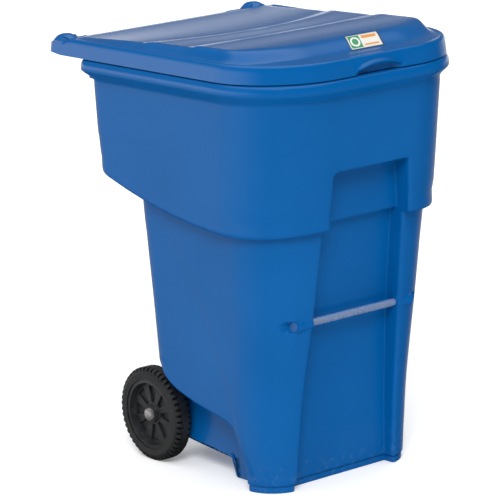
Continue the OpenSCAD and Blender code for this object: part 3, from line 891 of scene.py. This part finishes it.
# %% Soft key light
KEY_FROM = Vector((-0.56, -0.62, 0.66))
bpy.ops.object.light_add(type="SUN", location=KEY_FROM * 6.0)
key = bpy.context.object
key.name = "soft_key"
key.data.energy = 2.1
key.data.angle = math.radians(24)
key.rotation_euler = KEY_FROM.to_track_quat("Z", "Y").to_euler()
key.visible_glossy = False
print("key light from", [round(c, 2) for c in KEY_FROM])

# %% [markdown]
# ## Finishes
# Every material is worked out from the place on the object, so it needs no picture. Each has a colour that
# varies a little, a roughness that varies with it, and a fine relief. The blue polyethylene is satin, with
# flow marks from the mould and scuffs where the bin is dragged and gripped.

# %% Floor
floor_finish = Finish("floor_paint", Roughness=0.9)
floor_tone = floor_finish.noise(2.0, 2.0).ramp(0.3, 0.7)
floor_finish.set("Base Color", floor_finish.mix(floor_tone, (0.9, 0.9, 0.9, 1), (0.93, 0.93, 0.93, 1)))
floor_finish.set("Specular IOR Level", 0.0)
floor_finish.set("Emission Color", (1, 1, 1, 1))
floor_finish.set("Emission Strength", 0.2)
floor_finish.on(floor)


# %% Blue polyethylene
def stretched(finish, x, y, z):
    """The object's place, stretched along its axes so that a pattern runs one way."""
    return finish.node("ShaderNodeVectorMath", dict(operation="MULTIPLY"), {0: finish.place, 1: (x, y, z)})


def scratches(finish, along, amount):
    """Thin broken lines that run along one axis: 1 on a scratch, 0 beside it."""
    lines = finish.noise(1.0, 5.0, 0.6, point=stretched(finish, *along))
    patches = finish.noise(9.0, 2.0)
    return lines.ramp(0.66, 0.74) * patches.ramp(0.62 - amount, 0.72)


blue = Finish("blue_polyethylene")
flow = blue.noise(3.5, 3.0)
cloud = blue.noise(38.0, 3.0, 0.6)
grain = blue.noise(950.0, 2.0, 0.5)
low = blue.place.axis("Z").ramp(0.02, 0.16, 1.0, 0.0)
dust = low * blue.noise(60.0, 5.0, 0.7).ramp(0.42, 0.7)
scuff = scratches(blue, (30.0, 30.0, 900.0), 0.06) * 0.5 + scratches(blue, (500.0, 500.0, 14.0), 0.03) * 0.4
tone = blue.mix(flow.ramp(0.3, 0.7), (0.0, 0.092, 0.315, 1), (0.0, 0.1, 0.338, 1))
tone = blue.mix(cloud.ramp(0.45, 0.75) * 0.12, tone, (0.0, 0.12, 0.385, 1))
tone = blue.mix(scuff * 0.10, tone, (0.05, 0.2, 0.46, 1))
blue.set("Base Color", blue.mix(dust * 0.05, tone, (0.12, 0.2, 0.32, 1)))
blue.set("Roughness", 0.13 + flow * 0.05 + cloud * 0.04 + grain * 0.03 + dust * 0.12 + scuff * 0.1)
blue.set("Normal", blue.bump(grain - scuff * 0.5, 0.03 * MM, 0.25))
blue.on(tub, lid, *handle, *housing, *sleeves)


# %% Black plastics and rubber
def dark_finish(name, dark, pale, rough, grain_scale, grain_depth):
    """A dull dark finish with a mottled tone, a grain, and road dust low down."""
    finish = Finish(name)
    mottle = finish.noise(45.0, 4.0, 0.6).ramp(0.3, 0.75)
    grit = finish.noise(grain_scale, 3.0, 0.6)
    dusty = finish.noise(70.0, 5.0, 0.7).ramp(0.5, 0.78)
    tone = finish.mix(mottle, dark, pale)
    finish.set("Base Color", finish.mix(dusty * 0.22, tone, (0.08, 0.078, 0.075, 1)))
    finish.set("Roughness", rough + mottle * 0.08 + dusty * 0.18)
    finish.set("Normal", finish.bump(grit, grain_depth, 0.5))
    return finish


plastic = dark_finish("wheel_plastic", (0.012, 0.013, 0.015, 1), (0.022, 0.024, 0.027, 1), 0.33, 600.0,
                      0.06 * MM)
plastic.on(*[nodes[part + side] for part in ("wheel_", "axle_spacer_") for side in ("left", "right")])
pin = dark_finish("pin_plastic", (0.012, 0.014, 0.018, 1), (0.022, 0.025, 0.03, 1), 0.34, 800.0, 0.03 * MM)
pin.on(nodes["lid_pin_left"], nodes["lid_pin_right"])
rubber = dark_finish("tyre_rubber", (0.010, 0.011, 0.012, 1), (0.02, 0.021, 0.022, 1), 0.5, 420.0, 0.12 * MM)
rubber.on(nodes["tyre_left"], nodes["tyre_right"])
nylon = Finish("bush_nylon")
nylon_tone = nylon.noise(80.0, 3.0).ramp(0.35, 0.7)
nylon.set("Base Color", nylon.mix(nylon_tone, (0.62, 0.61, 0.56, 1), (0.5, 0.48, 0.42, 1)))
nylon.set("Roughness", 0.4 + nylon_tone * 0.15)
nylon.set("Normal", nylon.bump(nylon.noise(700.0), 0.03 * MM, 0.4))
nylon.on(nodes["wheel_bush_left"], nodes["wheel_bush_right"])


# %% Steel
def steel(name, bright, dull, rough, along, stain, metallic=1.0):
    """Plated steel: drawn lines along its length, clouded plating, and a little rust in its pits."""
    finish = Finish(name)
    drawn = finish.noise(1.0, 4.0, 0.6, point=stretched(finish, *along))
    clouds = finish.noise(55.0, 4.0, 0.6).ramp(0.35, 0.7)
    pits = finish.noise(260.0, 3.0, 0.7).ramp(0.7, 0.8) * finish.noise(24.0, 2.0).ramp(0.5, 0.7)
    tone = finish.mix(clouds, bright, dull)
    finish.set("Base Color", finish.mix(pits * stain, tone, (0.2, 0.09, 0.04, 1)))
    finish.set("Metallic", metallic - pits * stain * metallic)
    finish.set("Roughness", rough + clouds * 0.1 + drawn * 0.08 + pits * 0.3)
    finish.set("Normal", finish.bump(drawn - pits * 0.5, 0.04 * MM, 0.5))
    return finish


bar_steel = steel("bar_steel", (0.36, 0.48, 0.74, 1), (0.30, 0.42, 0.68, 1), 0.2, (12.0, 900.0, 900.0),
                  stain=0.1, metallic=0.55)
bar_steel.on(nodes["lift_bar"])
bar_cap = steel("bar_cap_steel", (0.05, 0.17, 0.42, 1), (0.03, 0.12, 0.34, 1), 0.3, (300.0, 300.0, 300.0),
                stain=0.1, metallic=0.2)
bar_cap.on(nodes["lift_bar_cap_left"], nodes["lift_bar_cap_right"])
cap_steel = steel("hub_cap_steel", (0.5, 0.49, 0.49, 1), (0.36, 0.35, 0.35, 1), 0.24, (300.0, 300.0, 300.0),
                  stain=0.2, metallic=0.75)
cap_steel.on(nodes["hub_cap_left"], nodes["hub_cap_right"])
axle_steel = steel("axle_steel", (0.52, 0.52, 0.54, 1), (0.38, 0.37, 0.37, 1), 0.34, (10.0, 800.0, 800.0),
                   stain=0.6)
axle_steel.on(nodes["axle"], nodes["hub_washer_left"], nodes["hub_washer_right"])


# %% [markdown]
# ### Printed film
# The label's print is made of bands and a ring measured from its own corner. It is a plain sign that stands
# for the printed panel of the real lid: a pale field, a green block with a ring, and a dark frame.

# %% Printed film
film = Finish("label_print", Coat_Weight=0.3)
film_y = (film.place.axis("Y") - LABEL_FOOT_Y * MM) / ((LABEL_TOP_Y - LABEL_FOOT_Y) * MM)
lean = (1.0 - film_y) * (LABEL_LEAN * (LABEL_TOP_Y - LABEL_FOOT_Y) * MM)
film_x = (film.place.axis("X") - (LABEL_X - LABEL_W / 2) * MM + lean) / (LABEL_W * MM)


def within(value, low_edge, high_edge, soft=0.008):
    """1 where value lies between two edges."""
    past_low = value.ramp(low_edge - soft, low_edge + soft)
    return past_low * value.ramp(high_edge - soft, high_edge + soft, 1.0, 0.0)


field = within(film_x, 0.03, 0.97) * within(film_y, 0.06, 0.94)
block = within(film_x, 0.06, 0.4) * within(film_y, 0.12, 0.88)
from_ring = (((film_x - 0.23) * 2.0) ** 2.0 + (film_y - 0.5) ** 2.0) ** 0.5
ring_band = within(from_ring, 0.18, 0.28)
bars = within(film_x, 0.46, 0.9) * (within(film_y, 0.62, 0.8) + within(film_y, 0.2, 0.3))
print_tone = film.mix(field, (0.03, 0.035, 0.04, 1), (0.72, 0.72, 0.68, 1))
print_tone = film.mix(block, print_tone, (0.03, 0.28, 0.12, 1))
print_tone = film.mix(ring_band, print_tone, (0.8, 0.8, 0.76, 1))
print_tone = film.mix(bars, print_tone, (0.75, 0.28, 0.04, 1))
rubbed = film.noise(180.0, 5.0, 0.7).ramp(0.6, 0.78)
film.set("Base Color", film.mix(rubbed * 0.25, print_tone, (0.3, 0.33, 0.36, 1)))
film.set("Roughness", 0.28 + rubbed * 0.25)
film.set("Normal", film.bump(film.noise(500.0), 0.02 * MM, 0.4))
film.on(label)
print("finishes:", ", ".join(m.name for m in bpy.data.materials))
